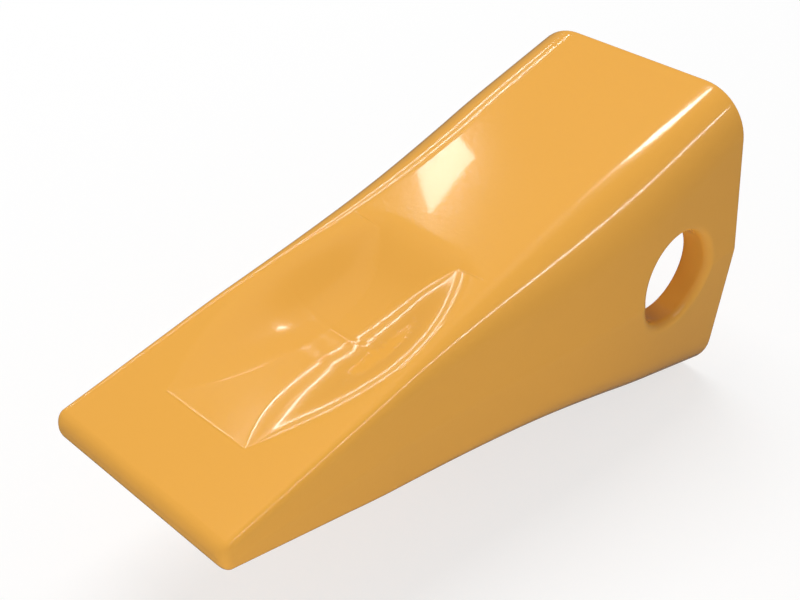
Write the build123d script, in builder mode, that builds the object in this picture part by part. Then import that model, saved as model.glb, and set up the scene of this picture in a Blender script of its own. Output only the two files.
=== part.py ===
from build123d import *
import math
import os

# Bucket tooth tip: one steel casting that slides over an adapter nose and is held by one
# cross pin. X runs from the socket mouth to the cutting edge, Y across the tooth, Z up.
# The origin is the middle of the cross pin's axis. Lengths are millimetres, angles degrees.

# Side form, with distances along X counted from the rear rim
overall_length = 250.0
rear_half_height = 65.3
bend_from_rear = 102.0
rear_face_angle = 14.6
tip_half_thickness = 5.0
side_draft_angle = 5.0

# Plan form: full width at the socket, waisted in an easy curve down to the blade
rear_half_width = 55.1
waist_start_from_rear = 38.0
waist_end_from_rear = 180.0
blade_half_width = 45.2
tip_half_width = 44.2

# Long edges: well rounded round the socket, nearly sharp along the blade
rear_edge_radius = 20.0
shoulder_edge_radius = 23.0
shoulder_from_rear = 62.0
blade_edge_radius = 4.5
blade_from_rear = 198.0
tip_edge_radius = 2.5

# Cutting edge
nose_radius = 5.4
nose_crossing_angle = 8.0

# Rear rim, broken outside and inside the socket mouth
outer_rim_chamfer = 1.0
socket_rim_chamfer = 2.0

# Cross pin holes through both side walls
pin_from_rear = 37.9
pin_above_parting = 2.5
pin_hole_radius = 19.0
pin_lead_from_middle = 51.4
pin_lead_depth = 5.0

# Tapered socket for the adapter nose
socket_depth = 130.0
socket_mouth_half_width = 43.2
socket_end_half_width = 36.0
socket_mouth_half_height = 53.2
socket_end_half_height = 17.5
socket_corner_radius = 8.0
socket_end_chamfer = 5.0

# Scoop in the upper face: a flat ramp behind the edge, then a hollow that climbs to the back
scoop_front_from_rear = 221.0
scoop_front_half_width = 19.8
scoop_ramp_angle = 4.0
scoop_ramp_end_from_rear = 168.5
scoop_floor_half_width = 5.4
scoop_front_spread = 2
scoop_back_spread = 5
scoop_widest_from_rear = 165.5
scoop_widest_half_width = 31.2
scoop_back_from_rear = 124.7
scoop_back_half_width = 18.8
scoop_back_angle = 38.0
scoop_floor_radius = 30.0
scoop_wall_bulge = 0.07
scoop_section_count = 16
scoop_overrun = 1.2

# Spans of the body ahead of the shoulder, and how far the cutters reach past it
front_span_count = 9
cutter_overshoot = 2.0

rear_x = -pin_from_rear
tip_x = rear_x + overall_length
parting_z = -pin_above_parting
draft_slope = math.tan(math.radians(side_draft_angle))
rear_slope = math.tan(math.radians(rear_face_angle))
bend_half_height = rear_half_height - bend_from_rear * rear_slope
front_slope = (bend_half_height - tip_half_thickness) / (overall_length - bend_from_rear)
front_face_angle = math.degrees(math.atan(front_slope))
nose_rise = nose_radius * math.cos(math.radians(nose_crossing_angle))
nose_reach = nose_rise / math.cos(math.radians(front_face_angle))
nose_flat = tip_half_thickness + nose_radius * front_slope - nose_reach


def half_height(from_rear):
    """Height of the upper face above the parting plane, and of the lower face below it."""
    if from_rear < bend_from_rear:
        return rear_half_height - from_rear * rear_slope
    return tip_half_thickness + (overall_length - from_rear) * front_slope


def ease(start, end, from_rear):
    """Smooth step from 0 at start to 1 at end."""
    share = min(max((from_rear - start) / (end - start), 0), 1)
    return (1 - math.cos(math.pi * share)) / 2


def half_width(from_rear):
    """Half width of the casting on its parting line."""
    waisting = ease(waist_start_from_rear, waist_end_from_rear, from_rear)
    taper = max(from_rear - waist_end_from_rear, 0) / (overall_length - waist_end_from_rear)
    width = rear_half_width + (blade_half_width - rear_half_width) * waisting
    return width + (tip_half_width - blade_half_width) * taper


def edge_radius(from_rear):
    """Radius of the four long edges."""
    swell = min(from_rear / shoulder_from_rear, 1)
    thinning = ease(shoulder_from_rear, blade_from_rear, from_rear)
    taper = max(from_rear - blade_from_rear, 0) / (overall_length - blade_from_rear)
    radius = rear_edge_radius + (shoulder_edge_radius - rear_edge_radius) * swell
    radius += (blade_edge_radius - shoulder_edge_radius) * thinning
    return radius + (tip_edge_radius - blade_edge_radius) * taper


# Stations of the body's sections: one straight span round the socket mouth, even spans to the
# blade's end, and a short last one that the cutting edge is rounded in
front_span = (overall_length - shoulder_from_rear) / front_span_count
body_stations = [0.0] + [shoulder_from_rear + front_span * step for step in range(front_span_count)]
body_stations += [overall_length - 2 * nose_radius, overall_length]

# Core of the socket: a side profile and a plan profile, both narrowing forwards, cross each other
mouth_growth = cutter_overshoot / socket_depth
core_half_width = socket_mouth_half_width + mouth_growth * (socket_mouth_half_width - socket_end_half_width)
core_half_height = socket_mouth_half_height + mouth_growth * (socket_mouth_half_height - socket_end_half_height)
core_mouth_x = rear_x - cutter_overshoot
core_end_x = rear_x + socket_depth

with BuildPart() as socket_core:
    with BuildSketch(Plane.XY.offset(parting_z)):
        Polygon(
            (core_mouth_x, -core_half_width),
            (core_end_x, -socket_end_half_width),
            (core_end_x, socket_end_half_width),
            (core_mouth_x, core_half_width),
            align=None,
        )
    extrude(amount=core_half_height, both=True)
    with BuildSketch(Plane.XZ):
        Polygon(
            (core_mouth_x, parting_z - core_half_height),
            (core_end_x, parting_z - socket_end_half_height),
            (core_end_x, parting_z + socket_end_half_height),
            (core_mouth_x, parting_z + core_half_height),
            align=None,
        )
    extrude(amount=core_half_width, both=True, mode=Mode.INTERSECT)
    mouth_edges = socket_core.faces().sort_by(Axis.X)[0].edges()
    end_edges = socket_core.faces().sort_by(Axis.X)[-1].edges()
    fillet(socket_core.edges() - mouth_edges - end_edges, socket_corner_radius)
    chamfer(socket_core.faces().sort_by(Axis.X)[-1].edges(), socket_end_chamfer)


ramp_slope = math.tan(math.radians(scoop_ramp_angle))
climb_slope = math.tan(math.radians(scoop_back_angle))
ramp_front_height = half_height(scoop_front_from_rear)
climb_back_height = half_height(scoop_back_from_rear)
ramp_rise_to_back = (scoop_front_from_rear - scoop_back_from_rear) * ramp_slope
hollow_from_back = (climb_back_height - ramp_front_height - ramp_rise_to_back) / (climb_slope - ramp_slope)
hollow_from_rear = scoop_back_from_rear + hollow_from_back
hollow_reach = scoop_floor_radius * math.tan(math.radians((scoop_back_angle - scoop_ramp_angle) / 2))


def scoop_floor_height(from_rear):
    """Height of the scoop's floor: ramp, tangent arc, then the climb to the back edge."""
    on_ramp = ramp_front_height + (scoop_front_from_rear - from_rear) * ramp_slope
    on_climb = climb_back_height - (from_rear - scoop_back_from_rear) * climb_slope
    arc_front = hollow_from_rear + hollow_reach * math.cos(math.radians(scoop_ramp_angle))
    arc_back = hollow_from_rear - hollow_reach * math.cos(math.radians(scoop_back_angle))
    if from_rear > arc_front:
        return on_ramp
    if from_rear < arc_back:
        return on_climb
    centre_from_rear = arc_front + scoop_floor_radius * math.sin(math.radians(scoop_ramp_angle))
    arc_front_height = ramp_front_height + (scoop_front_from_rear - arc_front) * ramp_slope
    centre_height = arc_front_height + scoop_floor_radius * math.cos(math.radians(scoop_ramp_angle))
    return centre_height - math.sqrt(scoop_floor_radius**2 - (from_rear - centre_from_rear) ** 2)


def scoop_rim_half_width(from_rear):
    """Half width of the scoop's outline: two arcs that meet where it is widest."""
    ends = [
        (scoop_front_from_rear, scoop_front_half_width),
        (scoop_back_from_rear, scoop_back_half_width),
    ]
    end, end_half_width = ends[0] if from_rear > scoop_widest_from_rear else ends[1]
    run = end - scoop_widest_from_rear
    sagitta = scoop_widest_half_width - end_half_width
    radius = (run**2 + sagitta**2) / (2 * sagitta)
    reach = min(abs(from_rear - scoop_widest_from_rear), abs(run))
    return scoop_widest_half_width - radius + math.sqrt(radius**2 - reach**2)


def scoop_floor_half_width_at(from_rear):
    """Half width of the scoop's flat floor, pinched between the walls behind the ramp."""
    if from_rear > scoop_ramp_end_from_rear:
        end, end_half_width, spread = scoop_front_from_rear, scoop_front_half_width, scoop_front_spread
    else:
        end, end_half_width, spread = scoop_back_from_rear, scoop_back_half_width, scoop_back_spread
    share = min((from_rear - scoop_ramp_end_from_rear) / (end - scoop_ramp_end_from_rear), 1)
    return scoop_floor_half_width + (end_half_width - scoop_floor_half_width) * share**spread


scoop_core_length = scoop_front_from_rear - scoop_back_from_rear + 2 * scoop_overrun

with BuildPart() as scoop_core:
    for station in range(scoop_section_count + 1):
        from_rear = scoop_back_from_rear - scoop_overrun + scoop_core_length * station / scoop_section_count
        floor_height = scoop_floor_height(from_rear)
        floor_half_width = scoop_floor_half_width_at(from_rear)
        knee_half_width = scoop_rim_half_width(from_rear) + scoop_overrun
        knee_height = half_height(from_rear) + scoop_overrun
        run = knee_half_width - floor_half_width
        rise = knee_height - floor_height
        middle_half_width = (floor_half_width + knee_half_width) / 2 + rise * scoop_wall_bulge
        middle_height = (floor_height + knee_height) / 2 - run * scoop_wall_bulge
        with BuildSketch(Plane.YZ.offset(rear_x + from_rear)):
            with BuildLine(Location((0, parting_z))):
                Line((0, floor_height), (floor_half_width, floor_height))
                ThreePointArc(
                    (floor_half_width, floor_height),
                    (middle_half_width, middle_height),
                    (knee_half_width, knee_height),
                )
                Line((knee_half_width, knee_height), (knee_half_width, knee_height + cutter_overshoot))
                Line((knee_half_width, knee_height + cutter_overshoot), (0, knee_height + cutter_overshoot))
                mirror(about=Plane.YZ)
            make_face()
    loft()

with BuildPart() as tooth_tip:
    for from_rear in body_stations:
        height = half_height(from_rear)
        width = half_width(from_rear)
        face_half_width = width - height * draft_slope
        with BuildSketch(Plane.YZ.offset(rear_x + from_rear)) as section:
            with Locations((0, parting_z)):
                Polygon(
                    (width, 0),
                    (face_half_width, height),
                    (-face_half_width, height),
                    (-width, 0),
                    (-face_half_width, -height),
                    (face_half_width, -height),
                    align=None,
                )
            levels = section.vertices().group_by(Axis.Y)
            fillet(levels[0] + levels[-1], edge_radius(from_rear))
    loft(ruled=True)

    with BuildSketch(Plane.XZ) as beyond_nose:
        with BuildLine(Location((tip_x, parting_z))):
            Line((0, nose_flat), (0, -nose_flat))
            upper_arc = CenterArc((-nose_radius, nose_flat), nose_radius, 0, 90 - front_face_angle)
            lower_arc = CenterArc((-nose_radius, -nose_flat), nose_radius, 0, front_face_angle - 90)
            Polyline(
                upper_arc @ 1,
                (-nose_radius, 2 * nose_radius),
                (nose_radius, 2 * nose_radius),
                (nose_radius, -2 * nose_radius),
                (-nose_radius, -2 * nose_radius),
                lower_arc @ 1,
            )
        make_face()
    extrude(amount=rear_half_width, both=True, mode=Mode.SUBTRACT)
    add(socket_core.part, mode=Mode.SUBTRACT)
    add(scoop_core.part, mode=Mode.SUBTRACT)
    rear_face = tooth_tip.faces().sort_by(Axis.X)[0]
    chamfer(rear_face.inner_wires()[0].edges(), socket_rim_chamfer)
    rear_face = tooth_tip.faces().sort_by(Axis.X)[0]
    chamfer(rear_face.outer_wire().edges(), outer_rim_chamfer)

    with BuildSketch(Plane.XZ):
        Circle(pin_hole_radius)
    extrude(amount=rear_half_width + cutter_overshoot, both=True, mode=Mode.SUBTRACT)
    for side in (1, -1):
        with BuildSketch(Plane.XZ.offset(side * pin_lead_from_middle)):
            Circle(pin_hole_radius)
        with BuildSketch(Plane.XZ.offset(side * (pin_lead_from_middle + pin_lead_depth))):
            Circle(pin_hole_radius + pin_lead_depth)
        loft(ruled=True, mode=Mode.SUBTRACT)

tooth_tip.part.label = "tooth_tip"
os.makedirs("parts", exist_ok=True)
export_step(tooth_tip.part, "parts/tooth_tip.step")
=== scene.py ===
"""Bucket tooth tip: one enamelled steel casting on a plain white floor."""

import math

import bmesh
import bpy
import numpy as np
from mathutils import Matrix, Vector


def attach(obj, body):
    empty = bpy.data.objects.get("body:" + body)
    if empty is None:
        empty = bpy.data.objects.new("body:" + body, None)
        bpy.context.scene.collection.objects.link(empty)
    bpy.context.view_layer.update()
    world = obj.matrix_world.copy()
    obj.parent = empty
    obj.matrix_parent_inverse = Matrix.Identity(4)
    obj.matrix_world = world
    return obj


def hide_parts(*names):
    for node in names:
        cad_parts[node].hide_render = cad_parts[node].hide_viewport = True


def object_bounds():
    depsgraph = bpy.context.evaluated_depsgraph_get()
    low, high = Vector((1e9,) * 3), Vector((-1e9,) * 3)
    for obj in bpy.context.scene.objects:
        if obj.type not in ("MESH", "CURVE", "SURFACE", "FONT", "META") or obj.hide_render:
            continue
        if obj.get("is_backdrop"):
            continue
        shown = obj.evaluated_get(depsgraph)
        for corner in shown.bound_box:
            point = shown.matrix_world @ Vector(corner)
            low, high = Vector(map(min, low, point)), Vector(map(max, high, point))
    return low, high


bl_info = {
    "name": "Bucket Tooth Tip",
    "version": (1, 0, 0),
    "blender": (4, 5, 0),
    "location": "3D View > Sidebar > Tooth Tip",
    "description": "Builds an enamelled bucket tooth tip with its studio",
    "category": "Add Mesh",
}

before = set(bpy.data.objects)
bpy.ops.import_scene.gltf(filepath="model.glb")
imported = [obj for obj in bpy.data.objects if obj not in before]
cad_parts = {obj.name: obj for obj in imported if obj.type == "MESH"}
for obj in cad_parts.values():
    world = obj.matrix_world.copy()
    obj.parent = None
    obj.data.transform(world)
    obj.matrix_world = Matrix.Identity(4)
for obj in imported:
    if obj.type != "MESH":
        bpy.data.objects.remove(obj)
cad_low, cad_high = (tuple(corner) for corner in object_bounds())


# Settings


def length(name, description, default):
    """A size in metres."""
    return bpy.props.FloatProperty(
        name=name, description=description, default=default, min=0.0, subtype="DISTANCE", unit="LENGTH"
    )


def angle(name, description, degrees):
    """An angle, given in degrees."""
    return bpy.props.FloatProperty(
        name=name, description=description, default=math.radians(degrees), subtype="ANGLE", unit="ROTATION"
    )


def number(name, description, default):
    """A plain number."""
    return bpy.props.FloatProperty(name=name, description=description, default=default)


def share(name, description, default):
    """A share from 0 to 1."""
    return bpy.props.FloatProperty(
        name=name, description=description, default=default, min=0.0, max=1.0, subtype="FACTOR"
    )


def colour(name, description, default):
    """A linear colour."""
    return bpy.props.FloatVectorProperty(
        name=name, description=description, default=default, min=0.0, max=1.0, size=3, subtype="COLOR"
    )


class CastingSizes(bpy.types.PropertyGroup):
    """Sizes of the casting; distances along the tooth count from its rear rim."""

    overall_length: length("Length", "From the rear rim to the cutting edge", 0.250)
    rear_half_height: length("Rear half height", "Height of the rear rim above the parting line", 0.0653)
    bend_from_rear: length("Bend", "Where the upper and lower faces change slope", 0.102)
    bend_softness: length("Bend softness", "Rounding of that change of slope", 0.00065)
    rear_face_angle: angle("Rear face angle", "Slope of the faces behind the bend", 14.6)
    tip_half_thickness: length("Tip half thickness", "Half thickness at the cutting edge", 0.0050)
    draft_angle: angle("Draft", "Lean of the side walls from the parting line", 5.0)
    rear_half_width: length("Rear half width", "Half width round the socket", 0.05505)
    waist_start: length("Waist start", "Where the sides begin to narrow", 0.038)
    waist_end: length("Waist end", "Where the blade's width is reached", 0.180)
    blade_half_width: length("Blade half width", "Half width of the blade", 0.0452)
    tip_half_width: length("Tip half width", "Half width at the cutting edge", 0.0442)
    rear_edge_radius: length("Rear edge radius", "Radius of the long edges at the rear rim", 0.020)
    shoulder_edge_radius: length("Shoulder edge radius", "Largest radius of the long edges", 0.023)
    shoulder_from_rear: length("Shoulder", "Where the long edges are roundest", 0.062)
    blade_edge_radius: length("Blade edge radius", "Radius of the long edges along the blade", 0.0045)
    blade_from_rear: length("Blade start", "Where the blade's edge radius is reached", 0.198)
    tip_edge_radius: length("Tip edge radius", "Radius of the long edges at the tip", 0.0025)
    nose_radius: length("Nose radius", "Rounding of the cutting edge", 0.0054)
    nose_crossing_angle: angle("Nose crossing", "Angle at which the rounding meets the faces", 8.0)
    nose_corner_radius: length("Nose corner radius", "Plan rounding at the two ends of the edge", 0.0034)
    rear_rim_radius: length("Rear rim radius", "Rounding round the outside of the rear rim", 0.0012)
    mouth_rim_radius: length("Mouth rim radius", "Rounding of the socket mouth", 0.0022)
    parting_softness: length("Parting softness", "Rounding of the parting line on the sides", 0.0003)


class SocketSizes(bpy.types.PropertyGroup):
    """Sizes of the socket and of the cross pin hole."""

    depth: length("Depth", "Depth of the socket", 0.130)
    mouth_half_width: length("Mouth half width", "Half width at the mouth", 0.0432)
    end_half_width: length("End half width", "Half width at the end", 0.036)
    mouth_half_height: length("Mouth half height", "Half height at the mouth", 0.0532)
    end_half_height: length("End half height", "Half height at the end", 0.0175)
    corner_radius: length("Corner radius", "Rounding of the four long corners", 0.008)
    end_radius: length("End radius", "Rounding round the end wall", 0.005)
    pin_from_rear: length("Pin from rear", "Cross pin axis, from the rear rim", 0.0379)
    pin_above_parting: length("Pin above parting", "Cross pin axis above the parting line", 0.0025)
    pin_radius: length("Pin hole radius", "Radius of the cross pin hole", 0.019)
    pin_rim_radius: length("Pin rim radius", "Rounding of the hole's outer rim", 0.0034)
    pin_inner_rim_radius: length("Inner rim radius", "Rounding of the hole inside the socket", 0.0010)


class ScoopSizes(bpy.types.PropertyGroup):
    """Sizes of the scoop in the upper face; distances count from the rear rim."""

    front: length("Front edge", "Front edge of the scoop", 0.221)
    front_half_width: length("Front half width", "Half width at the front edge", 0.0198)
    ramp_angle: angle("Ramp angle", "Slope of the ramp behind the front edge", 2.6)
    ramp_end: length("Ramp end", "Where the ramp is pinched", 0.1765)
    floor_half_width: length("Floor half width", "Half width of the floor at the pinch", 0.0046)
    front_spread: number("Front spread", "How the floor widens towards the front", 2.0)
    back_spread: number("Back spread", "How the floor widens towards the back", 5.0)
    widest: length("Widest", "Where the scoop is widest", 0.1655)
    widest_half_width: length("Widest half width", "Largest half width", 0.0312)
    back: length("Back edge", "Back edge of the scoop", 0.1247)
    back_half_width: length("Back half width", "Half width at the back edge", 0.0188)
    hollow_angle: angle("Hollow angle", "Slope of the floor just behind the ramp's end", -2.0)
    bead_height: length("Bead height", "Build-up of enamel along the front edge", 0.00010)
    bead_width: length("Bead width", "Width of that build-up", 0.00035)
    wall_bulge: number("Wall hollow", "Sag of the side walls as a share of their span", 0.07)
    side_softness: length("Side softness", "Blend of the side rims at the back", 0.0055)
    crest_softness: length("Crest softness", "Rounding of the ramp's end", 0.00012)
    front_softness: length("Front softness", "Blend of the front edge", 0.00012)


class EnamelFinish(bpy.types.PropertyGroup):
    """Colours and gloss of the enamel."""

    body: colour("Enamel", "Main colour of the enamel", (0.90, 0.44, 0.072))
    deep: colour("Deep enamel", "Tone where the coat lies thicker", (0.87, 0.42, 0.067))
    roughness: share("Roughness", "Roughness of the enamel", 0.14)
    coat_roughness: share("Coat roughness", "Roughness of the top gloss", 0.03)
    coat_weight: share("Coat weight", "Amount of top gloss", 0.5)
    peel_scale: number("Peel scale", "Grains of orange peel per metre", 620.0)
    peel_depth: length("Peel depth", "Height of the orange peel", 0.00003)


class StageSettings(bpy.types.PropertyGroup):
    """Floor, light and camera."""

    floor_colour: colour("Floor", "Colour of the floor", (0.93, 0.93, 0.93))
    floor_half_size: length("Floor half size", "Half the side of the floor", 4.0)
    shadow_share: share("Shadow", "How much of the shadow the floor shows", 0.30)
    room_strength: number("Room light", "Strength of the even light of the room", 0.36)
    room_gloss: number("Room gloss", "Strength of the room as gloss shows it", 0.10)
    sky_power: number("Sky panel", "Power of the large panel overhead, in watts", 28.5)
    front_power: number("Front panel", "Power of the panel ahead of the tip, in watts", 0.8)
    gloss_power: number("Gloss lamps", "Factor on the power of the lamps that gloss shows", 1.0)
    camera_location: bpy.props.FloatVectorProperty(
        name="Camera", description="Place of the camera", default=(0.3636, 0.2684, 0.2799), size=3, subtype="XYZ"
    )
    camera_lens: number("Lens", "Focal length in millimetres", 58.83)


# Shader maths


class Value:
    """A socket that can be used in sums."""

    def __init__(self, tree, socket):
        self.tree = tree
        self.socket = socket

    def sum_node(self, operation, first, second):
        node = self.tree.nodes.new("ShaderNodeMath")
        node.operation = operation
        for slot, item in zip(node.inputs, (first, second)):
            if isinstance(item, Value):
                self.tree.links.new(item.socket, slot)
            else:
                slot.default_value = item
        return Value(self.tree, node.outputs[0])

    def __add__(self, other):
        return self.sum_node("ADD", self, other)

    def __radd__(self, other):
        return self.sum_node("ADD", other, self)

    def __sub__(self, other):
        return self.sum_node("SUBTRACT", self, other)

    def __rsub__(self, other):
        return self.sum_node("SUBTRACT", other, self)

    def __mul__(self, other):
        return self.sum_node("MULTIPLY", self, other)

    def __rmul__(self, other):
        return self.sum_node("MULTIPLY", other, self)


class Nodes:
    """The nodes of one material, or of the room."""

    def __init__(self, owner):
        owner.use_nodes = True
        self.tree = owner.node_tree
        self.tree.nodes.clear()

    def node(self, kind, settings=None, inputs=None, output=0):
        """Adds a node: its settings first, then the values or links of its sockets."""
        node = self.tree.nodes.new(kind)
        for key, item in (settings or {}).items():
            setattr(node, key, item)
        for key, item in (inputs or {}).items():
            slot = node.inputs[key]
            if isinstance(item, Value):
                self.tree.links.new(item.socket, slot)
            else:
                slot.default_value = item
        return Value(self.tree, node.outputs[output]) if len(node.outputs) else node


def opaque(shade):
    """A colour with full alpha, as colour sockets take it."""
    return (*shade, 1.0)


def enamel(settings):
    """Glossy enamel over a cast surface: even colour, orange peel and a smooth top gloss."""
    material = bpy.data.materials.new("glossy_enamel")
    finish = Nodes(material)
    place = finish.node("ShaderNodeTexCoord", output=3)
    drift = finish.node("ShaderNodeTexNoise", inputs={"Vector": place, "Scale": 14.0, "Detail": 3.0})
    peel = finish.node(
        "ShaderNodeTexNoise", inputs={"Vector": place, "Scale": settings.peel_scale, "Detail": 2.0, "Roughness": 0.55}
    )
    swell = finish.node("ShaderNodeTexNoise", inputs={"Vector": place, "Scale": 95.0, "Detail": 2.0})
    tone = finish.node(
        "ShaderNodeMix",
        settings={"data_type": "RGBA"},
        inputs={0: drift * 0.55, 6: opaque(settings.body), 7: opaque(settings.deep)},
        output=2,
    )
    relief = finish.node(
        "ShaderNodeBump",
        inputs={"Strength": 1.0, "Distance": settings.peel_depth, "Height": peel + swell * 0.5},
    )
    shader = finish.node(
        "ShaderNodeBsdfPrincipled",
        inputs={
            "Base Color": tone,
            "Roughness": settings.roughness + (peel - 0.5) * 0.06,
            "Normal": relief,
            "IOR": 1.5,
            "Coat Weight": settings.coat_weight,
            "Coat Roughness": settings.coat_roughness,
            "Coat IOR": 1.5,
        },
    )
    finish.node("ShaderNodeOutputMaterial", inputs={"Surface": shader})
    return material


# Form of the casting


def ease(start, end, place):
    """Smooth step from 0 at start to 1 at end."""
    part = np.clip((place - start) / (end - start), 0.0, 1.0)
    return (1 - np.cos(np.pi * part)) / 2


def soft_higher(first, second, blend):
    """The higher of two heights, rounded where they cross."""
    return -soft_lower(-first, -second, blend)


def soft_lower(first, second, blend):
    """The lower of two heights, rounded where they cross."""
    near = np.maximum(blend - np.abs(first - second), 0.0) / blend
    return np.minimum(first, second) - near * near * blend / 4


class CastingForm:
    """Surfaces of the casting, in metres from the rear rim and from the parting line."""

    def __init__(self, body, socket, scoop):
        self.body = body
        self.socket = socket
        self.scoop = scoop
        self.draft = math.tan(body.draft_angle)
        self.rear_slope = math.tan(body.rear_face_angle)
        bend_height = body.rear_half_height - body.bend_from_rear * self.rear_slope
        self.front_slope = (bend_height - body.tip_half_thickness) / (body.overall_length - body.bend_from_rear)
        front_angle = math.atan(self.front_slope)
        reach = body.nose_radius * math.cos(body.nose_crossing_angle) / math.cos(front_angle)
        self.nose_flat = body.tip_half_thickness + body.nose_radius * self.front_slope - reach
        self.nose_angle = math.pi / 2 - front_angle - body.nose_crossing_angle
        self.tangent = 1 / math.tan((math.pi / 2 + body.draft_angle) / 2)
        self.ramp_slope = math.tan(scoop.ramp_angle)
        self.ramp_height = float(self.half_height(scoop.front))
        self.back_height = float(self.half_height(scoop.back))
        run = scoop.ramp_end - scoop.back
        start_height = self.ramp_height + (scoop.front - scoop.ramp_end) * self.ramp_slope
        climb = self.back_height - start_height
        last_angle = 2 * math.atan(climb / run) - scoop.hollow_angle
        self.hollow_radius = run / (math.sin(last_angle) - math.sin(scoop.hollow_angle))
        self.hollow_centre = scoop.ramp_end + self.hollow_radius * math.sin(scoop.hollow_angle)
        self.hollow_centre_height = start_height + self.hollow_radius * math.cos(scoop.hollow_angle)

    def half_height(self, place):
        """Half height of the faces, before the cutting edge is rounded."""
        rear = self.body.rear_half_height - place * self.rear_slope
        front = self.body.tip_half_thickness + (self.body.overall_length - place) * self.front_slope
        return soft_higher(rear, front, self.body.bend_softness)

    def half_width(self, place):
        """Half width on the parting line, before the tip's corners are rounded."""
        body = self.body
        waist = ease(body.waist_start, body.waist_end, place)
        taper = np.maximum(place - body.waist_end, 0) / (body.overall_length - body.waist_end)
        width = body.rear_half_width + (body.blade_half_width - body.rear_half_width) * waist
        return width + (body.tip_half_width - body.blade_half_width) * taper

    def edge_radius(self, place):
        """Radius of the four long edges."""
        body = self.body
        swell = np.minimum(place / body.shoulder_from_rear, 1)
        thinning = ease(body.shoulder_from_rear, body.blade_from_rear, place)
        taper = np.maximum(place - body.blade_from_rear, 0) / (body.overall_length - body.blade_from_rear)
        radius = body.rear_edge_radius + (body.shoulder_edge_radius - body.rear_edge_radius) * swell
        radius = radius + (body.blade_edge_radius - body.shoulder_edge_radius) * thinning
        return radius + (body.tip_edge_radius - body.blade_edge_radius) * taper

    def scoop_floor(self, place):
        """Height of the scoop's floor: ramp, crease at its end, and one hollow up to the back edge."""
        scoop = self.scoop
        ramp = self.ramp_height + (scoop.front - place) * self.ramp_slope
        inside = self.hollow_centre - np.clip(place, scoop.back - 0.004, scoop.ramp_end)
        hollow = self.hollow_centre_height - np.sqrt(self.hollow_radius**2 - inside**2)
        hollow = hollow + np.maximum(scoop.back - 0.004 - place, 0.0)
        ahead = np.maximum(place - scoop.ramp_end, 0.0) * math.tan(-scoop.hollow_angle)
        return np.where(
            place > scoop.ramp_end - 0.015, soft_lower(ramp, hollow + ahead, scoop.crest_softness), hollow
        )

    def scoop_rim(self, place):
        """Half width of the scoop's outline."""
        scoop = self.scoop
        ahead = place > scoop.widest
        run = np.where(ahead, scoop.front - scoop.widest, scoop.widest - scoop.back)
        sagitta = scoop.widest_half_width - np.where(ahead, scoop.front_half_width, scoop.back_half_width)
        radius = (run**2 + sagitta**2) / (2 * sagitta)
        reach = np.minimum(np.abs(place - scoop.widest), run)
        return scoop.widest_half_width - radius + np.sqrt(radius**2 - reach**2)

    def scoop_floor_half_width(self, place):
        """Half width of the scoop's floor between its walls."""
        scoop = self.scoop
        ahead = place > scoop.ramp_end
        end = np.where(ahead, scoop.front, scoop.back)
        wide = np.where(ahead, scoop.front_half_width, scoop.back_half_width)
        spread = np.where(ahead, scoop.front_spread, scoop.back_spread)
        part = np.clip((place - scoop.ramp_end) / (end - scoop.ramp_end), 0.0, 1.0)
        return scoop.floor_half_width + (wide - scoop.floor_half_width) * part**spread

    def upper_face(self, place, across, height):
        """Height of the upper face with its scoop, above the parting line."""
        scoop = self.scoop
        floor = self.scoop_floor(place)
        floor_half_width = self.scoop_floor_half_width(place)
        run = np.maximum(self.scoop_rim(place) - floor_half_width, 0.0004)
        rise = np.maximum(height - floor, 0.0)
        flatter = 1 - 0.75 * ease(scoop.ramp_end - 0.010, scoop.front, place)
        sag = scoop.wall_bulge * (run + rise**2 / run) * flatter
        part = np.maximum(across - floor_half_width, 0.0) / run
        slope_at_rim = np.maximum(rise + 4 * sag, 0.3 * run)
        wall = floor + rise * part - 4 * sag * part * (1 - part)
        beyond = floor + rise + slope_at_rim * (part - 1)
        bowl = np.where(part > 1, beyond, wall)
        backwards = np.clip((scoop.front - 0.001 - place) / 0.050, 0.0, 1.0)
        blend = scoop.front_softness + (scoop.side_softness - scoop.front_softness) * backwards**1.3
        bead = scoop.bead_height * np.exp(-(((place - scoop.front) / scoop.bead_width) ** 2))
        bead = bead * np.clip((scoop.front_half_width + 0.0006 - across) / 0.0006, 0.0, 1.0)
        return soft_lower(height + 0 * across, bowl, blend) + bead

    def side_wall(self, width, height):
        """How far out the side wall stands at a height from the parting line."""
        return width - self.draft * np.sqrt(height**2 + self.body.parting_softness**2)


# Mesh of the casting


def steps(start, end, number_of_steps):
    """Even steps from start up to, and without, end."""
    return [start + (end - start) * step / number_of_steps for step in range(number_of_steps)]


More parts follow.
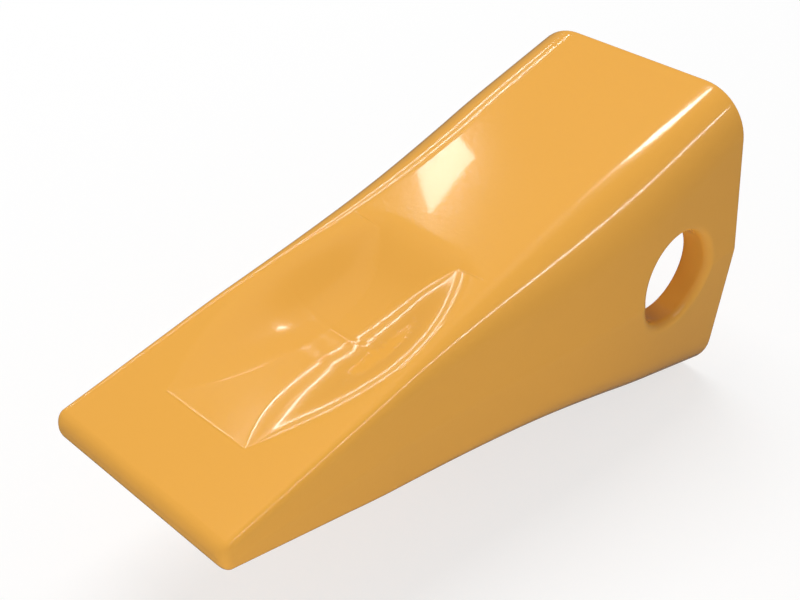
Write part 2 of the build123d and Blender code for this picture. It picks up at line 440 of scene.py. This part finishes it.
class CastingColumns:
    """Columns round half a section: upper face, upper edge, side, lower edge, lower face."""

    floor_part = 12
    wall_part = 26
    upper_face = 50
    upper_edge = 12
    lower_edge = 10
    lower_face = 12
    settling_angle = 0.8
    window_top = 0.80
    window_bottom = 0.75

    def __init__(self):
        self.upper_side = steps(1.0, self.window_top, 3) + steps(self.window_top, 0.04, 15) + [0.04, 0.012]
        lower = steps(1.0, self.window_bottom, 3) + steps(self.window_bottom, 0.04, 13) + [0.04, 0.012]
        self.lower_side = [0.0] + lower[::-1]
        self.window_first = self.upper_face + self.upper_edge + 3
        self.crease = self.upper_face + self.upper_edge + len(self.upper_side)
        self.window_last = self.crease + len(self.lower_side) - 1 - 3

    def upper_places(self, corner_across, foot, rim):
        """Columns across the upper face, with one on the foot and one on the rim of the scoop's wall."""
        floor = steps(0.0, foot, self.floor_part)
        turns = steps(0.0, math.pi, self.wall_part)
        wall = [foot + (rim - foot) * (1 - math.cos(turn)) / 2 for turn in turns]
        outer = steps(0.0, 1.0, self.upper_face - self.floor_part - self.wall_part)
        return floor + wall + [rim + (corner_across - rim) * part**1.4 for part in outer]

    def outline(self, width, height, radius, draft, tangent, side_of, marks=None):
        """Half an outline as distances across and heights, both from the middle."""
        corner_across = width - height * draft - tangent * radius
        edge_low = math.atan(draft)
        across = self.upper_places(corner_across, *marks) if marks else steps(0.0, corner_across, self.upper_face)
        heights = [height] * self.upper_face
        for turn in steps(math.pi / 2, edge_low, self.upper_edge):
            across.append(corner_across + radius * math.cos(turn))
            heights.append(height - radius + radius * math.sin(turn))
        side_height = height - radius + radius * math.sin(edge_low)
        for part in self.upper_side:
            across.append(side_of(width, side_height * part))
            heights.append(side_height * part)
        for part in self.lower_side:
            across.append(side_of(width, side_height * part))
            heights.append(-side_height * part)
        for turn in steps(edge_low, math.pi / 2, self.lower_edge)[1:]:
            across.append(corner_across + radius * math.cos(turn))
            heights.append(-(height - radius + radius * math.sin(turn)))
        for part in steps(1.0, 0.0, self.lower_face) + [0.0]:
            across.append(corner_across * part)
            heights.append(-height)
        return np.array(across, dtype=float), np.array(heights, dtype=float)


class Patches:
    """Grids of points, gathered and welded into one mesh."""

    def __init__(self):
        self.points = []
        self.quads = []
        self.total = 0

    def grid(self, points, skip=None, closed=False):
        """Adds a grid of points, leaving out the quads of a window."""
        rows, columns = points.shape[:2]
        index = np.arange(rows * columns).reshape(rows, columns) + self.total
        if closed:
            index = np.hstack([index, index[:, :1]])
        quads = np.stack([index[:-1, :-1], index[:-1, 1:], index[1:, 1:], index[1:, :-1]], axis=-1)
        keep = np.ones(quads.shape[:2], dtype=bool)
        if skip:
            keep[skip[0] : skip[1], skip[2] : skip[3]] = False
        self.quads.append(quads[keep])
        self.points.append(points.reshape(-1, 3))
        self.total += rows * columns

    def weld(self, tolerance=1e-8):
        """Mirrors the half, joins equal points and returns points and faces."""
        points = np.concatenate(self.points)
        quads = np.concatenate(self.quads)
        mirrored = points * np.array([1.0, -1.0, 1.0])
        every = np.concatenate([points, mirrored])
        faces = np.concatenate([quads, quads[:, ::-1] + len(points)])
        keys = np.round(every / tolerance / 10).astype(np.int64)
        _, first, place = np.unique(keys, axis=0, return_index=True, return_inverse=True)
        faces = place.reshape(-1)[faces]
        return every[first], [tuple(dict.fromkeys(face)) for face in faces.tolist()]


def casting_stations(form):
    """Stations along the outside, closer together where the form turns."""
    body, scoop = form.body, form.scoop
    start = body.rear_rim_radius
    nose = body.overall_length - body.nose_radius * (1 - math.cos(form.nose_angle))
    plan = [
        (start, 0.012, 6),
        (0.012, 0.064, 36),
        (0.064, scoop.back - 0.004, 34),
        (scoop.back - 0.004, scoop.back + 0.006, 18),
        (scoop.back + 0.006, scoop.ramp_end - 0.004, 44),
        (scoop.ramp_end - 0.004, scoop.ramp_end + 0.004, 24),
        (scoop.ramp_end + 0.004, scoop.front - 0.004, 40),
        (scoop.front - 0.004, scoop.front - 0.0008, 6),
        (scoop.front - 0.0008, scoop.front + 0.0008, 8),
        (scoop.front + 0.0008, scoop.front + 0.004, 5),
        (scoop.front + 0.004, nose - 0.001, 14),
        (nose - 0.001, nose - 0.0002, 2),
    ]
    stations = [place for begin, end, number_of_steps in plan for place in steps(begin, end, number_of_steps)]
    return stations, nose


def casting_mesh(form):
    """Points and faces of the whole casting."""
    body, socket = form.body, form.socket
    columns = CastingColumns()
    patches = Patches()
    origin = np.array([-socket.pin_from_rear, 0.0, -socket.pin_above_parting])

    def section(place, inset=0.0, height=None, corner_cut=0.0, scooped=True):
        """Half a section of the outside at a station."""
        tall = float(form.half_height(place)) if height is None else height
        wide = float(form.half_width(place)) - corner_cut
        radius = min(float(form.edge_radius(place)), 0.85 * tall) - inset
        rim = float(form.scoop_rim(np.clip(place, form.scoop.back, form.scoop.front)))
        marks = (min(float(form.scoop_floor_half_width(place)), rim - 0.003), rim)
        across, heights = columns.outline(
            wide - inset / math.cos(body.draft_angle),
            tall - inset,
            radius,
            form.draft,
            form.tangent,
            form.side_wall,
            marks,
        )
        if scooped:
            top = slice(0, columns.upper_face)
            heights[top] = form.upper_face(place, across[top], tall)
        return np.stack([np.full_like(across, place), across, heights], axis=-1)

    stations, nose = casting_stations(form)
    rows = []
    for turn in steps(math.pi / 2, 0.0, 5):
        place = body.rear_rim_radius * (1 - math.sin(turn))
        rows.append(section(place, inset=body.rear_rim_radius * (1 - math.cos(turn)), scooped=False))
    rear_rows = len(rows)
    for place in stations:
        rows.append(section(place, scooped=body.bend_from_rear < place))
    for turn in steps(form.nose_angle, 0.0, 14) + [0.0]:
        place = body.overall_length - body.nose_radius * (1 - math.cos(turn))
        beyond = max(place - body.overall_length + body.nose_corner_radius, 0.0)
        cut = body.nose_corner_radius - math.sqrt(body.nose_corner_radius**2 - beyond**2)
        tall = form.nose_flat + body.nose_radius * math.sin(turn)
        rows.append(section(place, height=tall, corner_cut=cut, scooped=False))
    outside = np.array(rows)
    first_row = rear_rows + stations.index(0.012)
    last_row = rear_rows + stations.index(0.064)
    window = (first_row, last_row, columns.window_first, columns.window_last)
    patches.grid(outside + origin, skip=window)

    # Flat front of the cutting edge: rows that close on its middle point
    tip = outside[-1]
    closing = np.array([tip * np.array([1.0, part, part]) for part in (1.0, 0.7, 0.35, 0.0)])
    patches.grid(closing + origin)

    # Socket: mouth rim, walls, rounded end and end wall
    def core(place, outset=0.0):
        """Half a section of the socket at a station."""
        part = place / socket.depth
        wide = socket.mouth_half_width + (socket.end_half_width - socket.mouth_half_width) * part
        tall = socket.mouth_half_height + (socket.end_half_height - socket.mouth_half_height) * part
        across, heights = columns.outline(
            wide + outset, tall + outset, socket.corner_radius + outset, 0.0, 1.0, lambda width, height: width
        )
        return np.stack([np.full_like(across, place), across, heights], axis=-1)

    rim = body.mouth_rim_radius
    mouth = [core(rim * (1 - math.sin(turn)), rim * (1 - math.cos(turn))) for turn in steps(math.pi / 2, 0.0, 6)]
    walls_plan = [(rim, 0.012, 4), (0.012, 0.064, 36), (0.064, socket.depth - socket.end_radius, 14)]
    wall_stations = [place for plan in walls_plan for place in steps(*plan)]
    walls = [core(place) for place in wall_stations]
    ends = []
    for turn in steps(0.0, math.pi / 2, 5) + [math.pi / 2]:
        place = socket.depth - socket.end_radius * (1 - math.sin(turn))
        ends.append(core(place, -socket.end_radius * (1 - math.cos(turn))))
    wall_end = [ends[-1] * np.array([1.0, part, part]) for part in (0.6, 0.2, 0.0)]
    inside = np.array(mouth + walls + ends + wall_end)
    inner_first = len(mouth) + wall_stations.index(0.012)
    inner_last = len(mouth) + wall_stations.index(0.064)
    inner_window = (inner_first, inner_last, columns.window_first, columns.window_last)
    patches.grid(inside + origin, skip=inner_window)

    # Rear rim: flat ring between the outside and the socket mouth
    ring = np.array([outside[0] + (inside[0] - outside[0]) * part for part in (0.0, 0.35, 0.7, 1.0)])
    patches.grid(ring + origin)

    # Pin hole: round patches in both walls, joined by the bore
    def boundary(surface, span):
        """Loop of points round a window, from the parting line at its rear."""
        low, high, left, right = span
        rear_up = [surface[low, column] for column in range(columns.crease, left, -1)]
        top = [surface[row, left] for row in range(low, high)]
        front = [surface[high, column] for column in range(left, right)]
        bottom = [surface[row, right] for row in range(high, low, -1)]
        rear_low = [surface[low, column] for column in range(right, columns.crease, -1)]
        return np.array(rear_up + top + front + bottom + rear_low)

    pin_centre = np.array([socket.pin_from_rear, socket.pin_above_parting])
    outer_loop = boundary(outside, window)
    inner_loop = boundary(inside, inner_window)
    outer_radius = socket.pin_radius + socket.pin_rim_radius
    inner_radius = socket.pin_radius + socket.pin_inner_rim_radius
    plain_turns = np.arctan2(outer_loop[:, 2] - pin_centre[1], outer_loop[:, 0] - pin_centre[0])
    crease_turn = math.asin(socket.pin_above_parting / outer_radius)
    front_crease = (columns.crease - columns.window_first) * 2 + (last_row - first_row)
    turns = plain_turns.copy()
    for column, crossing in ((0, -math.pi + crease_turn), (front_crease, -crease_turn)):
        # The column on the parting line moves to where that line meets the rim, and its neighbours ease in with it
        apart = np.abs(np.angle(np.exp(1j * (plain_turns - plain_turns[column]))))
        turns += (crossing - plain_turns[column]) * np.maximum(1 - apart / columns.settling_angle, 0.0)

    def ring_points(radius):
        """Points of a circle round the pin's axis, in the plane of the tooth's side."""
        return np.stack([pin_centre[0] + radius * np.cos(turns), pin_centre[1] + radius * np.sin(turns)], axis=-1)

    def on_side(flat):
        """Points of the outer side wall."""
        across = form.side_wall(form.half_width(flat[:, 0]), flat[:, 1])
        return np.stack([flat[:, 0], across, flat[:, 1]], axis=-1)

    def on_core(flat):
        """Points of the socket's side wall."""
        slope = (socket.end_half_width - socket.mouth_half_width) / socket.depth
        across = socket.mouth_half_width + slope * flat[:, 0]
        return np.stack([flat[:, 0], across, flat[:, 1]], axis=-1)

    outer_flat = outer_loop[:, [0, 2]]
    inner_flat = inner_loop[:, [0, 2]]
    bore_rows = [outer_loop]
    for part in (0.2, 0.38, 0.54, 0.68, 0.8, 0.9, 1.0):
        bore_rows.append(on_side(outer_flat + (ring_points(outer_radius) - outer_flat) * part))
    outer_edge = bore_rows[-1]
    for turn in steps(0.0, math.pi / 2, 8)[1:] + [math.pi / 2]:
        flat = ring_points(outer_radius - socket.pin_rim_radius * math.sin(turn))
        drop = socket.pin_rim_radius * (1 - math.cos(turn))
        tilt = on_side(flat)[:, 1] - outer_edge[:, 1]
        across = outer_edge[:, 1] - drop + tilt * math.cos(turn)
        bore_rows.append(np.stack([flat[:, 0], across, flat[:, 1]], axis=-1))
    bore_top = bore_rows[-1]
    inner_edge = on_core(ring_points(inner_radius))
    inner_rows = [inner_loop]
    for part in (0.25, 0.5, 0.72, 0.9, 1.0):
        inner_rows.append(on_core(inner_flat + (ring_points(inner_radius) - inner_flat) * part))
    for turn in steps(0.0, math.pi / 2, 4)[1:] + [math.pi / 2]:
        flat = ring_points(inner_radius - socket.pin_inner_rim_radius * math.sin(turn))
        rise = socket.pin_inner_rim_radius * (1 - math.cos(turn))
        inner_rows.append(np.stack([flat[:, 0], inner_edge[:, 1] + rise, flat[:, 1]], axis=-1))
    bore_bottom = inner_rows[-1]
    for part in (0.25, 0.5, 0.75):
        bore_rows.append(bore_top + (bore_bottom - bore_top) * part)
    bore = np.array(bore_rows + inner_rows[::-1])
    patches.grid(bore + origin, closed=True)
    return patches.weld()


weld_distance = 2e-6


def add_casting(sizes, socket, scoop, finish):
    """The casting as one mesh in place of its solid."""
    form = CastingForm(sizes, socket, scoop)
    points, faces = casting_mesh(form)
    mesh = bpy.data.meshes.new("enamelled_casting")
    mesh.from_pydata(points.tolist(), [], [face for face in faces if len(face) > 2])
    work = bmesh.new()
    work.from_mesh(mesh)
    bmesh.ops.remove_doubles(work, verts=work.verts, dist=weld_distance)
    bmesh.ops.recalc_face_normals(work, faces=work.faces)
    work.to_mesh(mesh)
    work.free()
    mesh.shade_smooth()
    mesh.materials.append(enamel(finish))
    casting = bpy.data.objects.new("enamelled_casting", mesh)
    bpy.context.scene.collection.objects.link(casting)
    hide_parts("tooth_tip")
    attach(casting, "root")
    return casting


# Stage


def floor_finish(stage):
    """White floor that shows a light shadow."""
    material = bpy.data.materials.new("studio_floor")
    finish = Nodes(material)
    camera_ray = finish.node("ShaderNodeLightPath", output="Is Camera Ray")
    matte = finish.node("ShaderNodeBsdfDiffuse", inputs={"Color": opaque(stage.floor_colour)})
    white = finish.node("ShaderNodeEmission", inputs={"Color": (1.0, 1.0, 1.0, 1.0), "Strength": 1.0})
    mixed = finish.node("ShaderNodeMixShader", inputs={0: camera_ray * (1 - stage.shadow_share), 1: matte, 2: white})
    finish.node("ShaderNodeOutputMaterial", inputs={"Surface": mixed})
    return material


def room_light(stage):
    """Even light of the room; the camera sees it white."""
    world = bpy.data.worlds.new("studio_room")
    bpy.context.scene.world = world
    room = Nodes(world)
    camera_ray = room.node("ShaderNodeLightPath", output="Is Camera Ray")
    glossy_ray = room.node("ShaderNodeLightPath", output="Is Glossy Ray")
    strength = stage.room_strength + camera_ray * (1 - stage.room_strength)
    strength = strength + glossy_ray * (stage.room_gloss - stage.room_strength)
    light = room.node("ShaderNodeBackground", inputs={"Color": (1.0, 1.0, 1.0, 1.0), "Strength": strength})
    room.node("ShaderNodeOutputWorld", inputs={"Surface": light})


def add_lamp(name, start, end, width, power, lights="both", target=(0.08, 0.0, 0.0)):
    """A soft lamp panel from start to end, turned to the casting; it may serve gloss or body colour alone."""
    start, end, target = (np.array(place, dtype=float) for place in (start, end, target))
    middle = (start + end) / 2
    away = (middle - target) / np.linalg.norm(middle - target)
    along = (end - start) - away * np.dot(end - start, away)
    span = float(np.linalg.norm(along))
    along /= span
    lamp = bpy.data.lights.new(name, "AREA")
    lamp.shape = "RECTANGLE"
    lamp.size = span
    lamp.size_y = width
    lamp.energy = power
    thing = bpy.data.objects.new(name, lamp)
    turn = Matrix((along, np.cross(away, along), away)).transposed().to_4x4()
    thing.matrix_world = Matrix.Translation(middle) @ turn
    thing.visible_diffuse = lights != "gloss"
    thing.visible_glossy = lights != "body"
    bpy.context.scene.collection.objects.link(thing)
    return thing


gloss_lamps = (
    ("far_window", (-0.51, -0.97, 1.22), (-0.45, -0.985, 1.22), 0.07, 0.16),
    ("near_strip", (-0.75, 0.86, 1.08), (0.15, 1.05, 1.11), 0.02, 1.6),
    ("far_strip", (-0.75, -1.03, 0.97), (0.20, -1.26, 0.89), 0.015, 1.1),
    ("low_far_strip", (-0.78, -1.19, 0.71), (0.10, -1.40, 0.66), 0.02, 1.0),
    ("rear_window", (-0.66, -0.30, 1.38), (-0.56, -0.26, 1.42), 0.25, 1.5),
)


def add_camera(stage):
    """Camera at the photograph's viewing angle."""
    camera = bpy.data.cameras.new("studio_camera")
    camera.sensor_width = 36.0
    camera.lens = stage.camera_lens
    camera.clip_start = 0.01
    thing = bpy.data.objects.new("studio_camera", camera)
    right = (-math.sqrt(1 / 2), math.sqrt(1 / 2), 0.0)
    up = (-math.sqrt(1 / 6), -math.sqrt(1 / 6), math.sqrt(2 / 3))
    back = (math.sqrt(1 / 3),) * 3
    turn = Matrix((right, up, back)).transposed().to_4x4()
    thing.matrix_world = Matrix.Translation(stage.camera_location) @ turn
    bpy.context.scene.collection.objects.link(thing)
    bpy.context.scene.camera = thing


def add_floor(stage):
    """Plain floor under the lowest point of the casting."""
    half = stage.floor_half_size
    level = cad_low[2]
    mesh = bpy.data.meshes.new("studio_floor")
    corners = [(-half, -half, level), (half, -half, level), (half, half, level), (-half, half, level)]
    mesh.from_pydata(corners, [], [(0, 1, 2, 3)])
    mesh.materials.append(floor_finish(stage))
    floor = bpy.data.objects.new("studio_floor", mesh)
    floor.visible_glossy = False
    bpy.context.scene.collection.objects.link(floor)
    floor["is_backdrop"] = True


# Operators and panel


class TOOTHTIP_OT_casting(bpy.types.Operator):
    """Build the enamelled casting in place of its solid."""

    bl_idname = "toothtip.casting"
    bl_label = "Build Casting"

    def execute(self, context):
        scene = context.scene
        casting = add_casting(
            scene.toothtip_casting, scene.toothtip_socket, scene.toothtip_scoop, scene.toothtip_enamel
        )
        if not len(casting.data.polygons):
            raise RuntimeError("the casting has no faces")
        return {"FINISHED"}


class TOOTHTIP_OT_stage(bpy.types.Operator):
    """Set up the floor, the lamps and the camera."""

    bl_idname = "toothtip.stage"
    bl_label = "Build Stage"

    def execute(self, context):
        stage = context.scene.toothtip_stage
        add_floor(stage)
        room_light(stage)
        add_lamp("sky_panel", (-1.0, -0.6, 1.75), (0.6, -0.6, 1.75), 1.2, stage.sky_power, "body")
        tip = (0.17, 0.03, 0.0)
        add_lamp("front_panel", (0.50, 0.55, 0.12), (0.60, 0.35, 0.12), 0.22, stage.front_power, "body", tip)
        for name, start, end, width, power in gloss_lamps:
            add_lamp(name, start, end, width, power * stage.gloss_power, "gloss")
        add_camera(stage)
        context.scene.view_settings.view_transform = "Standard"
        if context.scene.camera is None:
            raise RuntimeError("the stage has no camera")
        return {"FINISHED"}


class TOOTHTIP_PT_panel(bpy.types.Panel):
    """Buttons and settings of the tooth tip."""

    bl_idname = "TOOTHTIP_PT_panel"
    bl_label = "Tooth Tip"
    bl_space_type = "VIEW_3D"
    bl_region_type = "UI"
    bl_category = "Tooth Tip"

    def draw(self, context):
        scene = context.scene
        groups = [
            (
                TOOTHTIP_OT_casting,
                (scene.toothtip_casting, scene.toothtip_socket, scene.toothtip_scoop, scene.toothtip_enamel),
            ),
            (TOOTHTIP_OT_stage, (scene.toothtip_stage,)),
        ]
        for operator, settings in groups:
            box = self.layout.box()
            box.operator(operator.bl_idname)
            for group in settings:
                for key in group.__annotations__:
                    box.prop(group, key)


groups = {
    "toothtip_casting": CastingSizes,
    "toothtip_socket": SocketSizes,
    "toothtip_scoop": ScoopSizes,
    "toothtip_enamel": EnamelFinish,
    "toothtip_stage": StageSettings,
}
classes = (*groups.values(), TOOTHTIP_OT_casting, TOOTHTIP_OT_stage, TOOTHTIP_PT_panel)


def register():
    for item in classes:
        bpy.utils.register_class(item)
    for key, group in groups.items():
        setattr(bpy.types.Scene, key, bpy.props.PointerProperty(type=group))


def unregister():
    for key in groups:
        delattr(bpy.types.Scene, key)
    for item in reversed(classes):
        bpy.utils.unregister_class(item)


def main():
    """Builds everything."""
    register()
    bpy.ops.toothtip.casting()
    bpy.ops.toothtip.stage()


if __name__ == "__main__":
    main()
